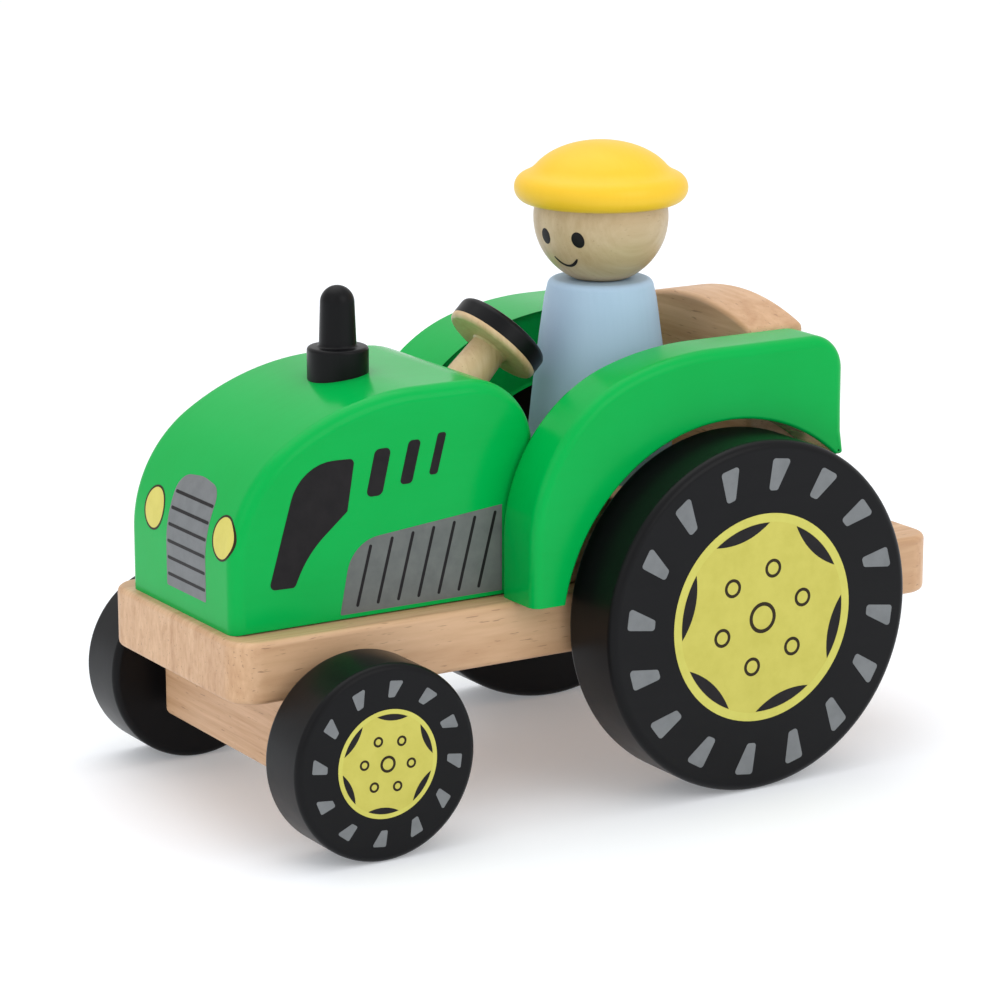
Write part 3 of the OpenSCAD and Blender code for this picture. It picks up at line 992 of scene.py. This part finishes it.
def make_driver_body():
    """A peg that narrows from its foot to the shoulders, with a recess for the neck's dowel."""
    low, high = box("driver_body")
    foot_r, foot_h, foot_edge = 12.7, 5, 0.7
    shoulder_r, shoulder_edge, taper = 9.1, 1.3, 1.35
    recess_r, recess = 2.6, 1.5
    tall = high.z - low.z
    waist = tall - shoulder_edge
    steps = 16
    sides = []
    for i in range(steps):
        h = foot_h + (waist - foot_h) * i / steps
        drop = ((h - foot_h) / (tall - foot_h)) ** taper
        sides.append((foot_r - (foot_r - shoulder_r) * drop, h))
    profile = (
        [(0, 0)]
        + arc((foot_r - foot_edge, foot_edge), foot_edge, -90, 0, 4)
        + sides
        + arc((shoulder_r - shoulder_edge, waist), shoulder_edge, 8, 90, 6)
        + [(recess_r, tall), (recess_r, tall - recess), (0, tall - recess)]
    )
    body = lathe("driver_torso", profile, (HEAD.x, 0, low.z), BLUE)
    piece(shade(body), "driver", "blue_paint", "driver_body")


def make_head():
    neck_z = box("driver_head")[0].z - HEAD.z
    neck = math.degrees(math.asin(neck_z / HEAD_R))
    profile = [(0, neck_z)] + arc((0, 0), HEAD_R, neck, 90, 40)
    profile[-1] = (0, HEAD_R)
    head = lathe("driver_ball", profile, HEAD, PEG_WOOD)
    piece(shade(head), "driver_top", "maple", "driver_head")


def make_hat():
    """A round brim that rolls over into a domed crown, hollow to fit the head."""
    tube_r, brim_r, gap = 2.6, 14.8, 0.05
    tube_x = brim_r - tube_r
    groove = turn((tube_x, 0), tube_r, 95)
    foot = math.degrees(math.asin(groove[1] / CROWN_RISE))
    crown_r = groove[0] / math.cos(math.radians(foot))

    def crown_at(angle):
        a = math.radians(angle)
        return Vector((crown_r * math.cos(a), CROWN_RISE * math.sin(a)))

    # The brim rolls over into the crown through a soft hollow
    leave, land = 66, foot + 10
    start = Vector(turn((tube_x, 0), tube_r, leave))
    away = Vector(turn((0, 0), 1, leave + 90))
    stop = crown_at(land)
    arrive = (crown_at(land + 1) - crown_at(land - 1)).normalized()
    reach = (stop - start).length * 0.4
    knees = [start, start + away * reach, stop - arrive * reach, stop]
    hollow = []
    for k in range(1, 10):
        f = k / 10
        weights = ((1 - f) ** 3, 3 * f * (1 - f) ** 2, 3 * f * f * (1 - f), f**3)
        hollow.append(tuple(sum((w * p for w, p in zip(weights, knees)), Vector((0, 0)))))
    crown = [tuple(crown_at(land + (90 - land) * i / 24)) for i in range(25)]
    crown[-1] = (0, CROWN_RISE)
    inner_r = HEAD_R + gap
    rim = math.degrees(math.asin((BRIM_RISE - tube_r) / inner_r))
    bowl = [(r, z - BRIM_RISE) for r, z in arc((0, 0), inner_r, 90, rim, 20)]
    bowl[0] = (0, inner_r - BRIM_RISE)
    profile = bowl + arc((tube_x, 0), tube_r, -90, leave, 18) + hollow + crown
    hat = lathe("driver_cap", profile, HEAD + Vector((0, 0, BRIM_RISE)), YELLOW)
    piece(shade(hat, 60), "driver_top", "yellow_paint", "driver_hat")


def make_face():
    """Two oval eyes and a smile, painted on the ball; the face looks a little to its left. All
    places and sizes are degrees on the ball."""
    facing, eye_apart, eye_rise = 19.3, 17.2, -12.3
    eye_rx, eye_ry, eye_lean = 5.7, 7.0, 10
    smile_half, smile_rise, smile_sag, smile_line = 12.212, -31.0, 8.9, 1.35

    def place(u, v, w):
        a, e = math.radians(facing + u / math.cos(math.radians(v))), math.radians(v)
        r = HEAD_R + w
        return (
            HEAD.x + r * math.cos(a) * math.cos(e),
            HEAD.y + r * math.sin(a) * math.cos(e),
            HEAD.z + r * math.sin(e),
        )

    eyes = [ellipse((s * eye_apart, eye_rise), eye_rx, eye_ry, eye_lean) for s in (-1, 1)]
    upper, lower = [], []
    steps = 24
    for i in range(steps + 1):
        t = 2 * i / steps - 1
        u = smile_half * t
        v = smile_rise - smile_sag * (1 - t * t)
        half = smile_line * math.sqrt(max(0.2, 1 - t**6))
        slope = math.atan2(2 * smile_sag * t, smile_half)
        upper.append((u - half * math.sin(slope), v + half * math.cos(slope)))
        lower.append((u + half * math.sin(slope), v - half * math.cos(slope)))
    parts = (
        ("eyes", eyes, FIRST_INK, BLACK_INK, "black_paint"),
        ("smile", [lower + upper[::-1]], FIRST_INK, BLACK_INK, "black_paint"),
    )
    print_parts("driver", "driver_top", place, parts, HEAD_CUTS)


# ---------------------------------------------------------------- carried-over CAD nodes


def finish_cad_nodes():
    looks = {
        "axle_block_screws": STEEL,
        "front_axle": STEEL,
        "rear_axle": STEEL,
        "front_spacers": NYLON,
        "rear_spacers": NYLON,
        "hood_dowels": BEECH_Z,
        "seat_dowels": BEECH_Z,
        "left_fender_dowels": BEECH_Y,
        "right_fender_dowels": BEECH_Y,
        "neck_dowel": BEECH_Z,
    }
    for node, material in looks.items():
        for slot in frame["nodes"][node].material_slots:
            slot.material = material


# ---------------------------------------------------------------- studio


# Metres, and millimetres for the camera's lens and sensor
FLOOR_HALF = 6.0
SKY_STRENGTH = 0.85
LAMP_AIM = (0.0, 0.0, 0.04)
CAMERA_AT = (0.3258, 0.5198, 0.1945)
CAMERA_TARGET = (0.0064, 0, 0.0455)
CAMERA_LENS = 133
CAMERA_SENSOR = 36


def set_up(name, data, place=(0, 0, 0), target=None):
    """Puts a light or the camera in the scene, turned to face its target."""
    ob = bpy.data.objects.new(name, data)
    ob.location = place
    if target:
        ob.rotation_mode = "QUATERNION"
        ob.rotation_quaternion = (Vector(target) - ob.location).to_track_quat("-Z", "Y")
    bpy.context.scene.collection.objects.link(ob)
    return ob


def make_floor():
    n = Nodes("studio_floor")
    cloud = n.noise(n.place((0.001, 0.001, 0.001)), 1.0, 2)
    pale = n.mix(cloud, (0.82, 0.84, 0.87, 1), (0.81, 0.83, 0.86, 1))
    floor_look = n.shade(pale, 0.6, Specular_IOR_Level=0.2, Emission_Strength=0.24)
    n.put(n.shader.inputs["Emission Color"], pale)
    bm = bmesh.new()
    bmesh.ops.create_grid(bm, x_segments=1, y_segments=1, size=FLOOR_HALF / MM)
    floor = add_object("floor", bm, floor_look)


def make_lights():
    world = bpy.data.worlds.new("studio")
    world.use_nodes = True
    sky = world.node_tree.nodes["Background"]
    sky.inputs["Color"].default_value = (1, 1, 1, 1)
    sky.inputs["Strength"].default_value = SKY_STRENGTH
    bpy.context.scene.world = world

    lamps = (
        ("overhead", (0.05, -0.25, 0.95), 0.9, 2.6),
        ("front_left", (0.85, 0.35, 0.55), 0.6, 0.6),
        ("camera_side", (-0.25, 0.95, 0.6), 0.7, 2.4),
    )
    for name, place, size, power in lamps:
        data = bpy.data.lights.new(name, "AREA")
        data.shape = "SQUARE"
        data.size = size
        data.energy = power
        set_up(name, data, place, LAMP_AIM)

    data = bpy.data.lights.new("ceiling", "SUN")
    data.energy = 0.35
    data.angle = math.radians(70)
    set_up("ceiling", data)


def make_camera():
    data = bpy.data.cameras.new("camera")
    data.sensor_width = CAMERA_SENSOR
    data.lens = CAMERA_LENS
    bpy.context.scene.camera = set_up("camera", data, CAMERA_AT, CAMERA_TARGET)
    bpy.context.scene.view_settings.view_transform = "Standard"


make_floor()
make_lights()
make_camera()
make_chassis()
make_axle_block()
make_hood()
for hand in (-1, 1):
    make_fender(hand)
    side_prints(hand)
front_prints()
make_seat()
make_exhaust()
for hand in ("left", "right"):
    make_wheel(f"rear_{hand}_wheel", "rear_wheelset", 1, 0.54, 16, 6.1, 14)
    make_wheel(f"front_{hand}_wheel", "front_wheelset", 0.504, 0.74, 12, 5.6, 36.6)
make_steering_wheel()
make_driver_body()
make_head()
make_hat()
make_face()
finish_cad_nodes()
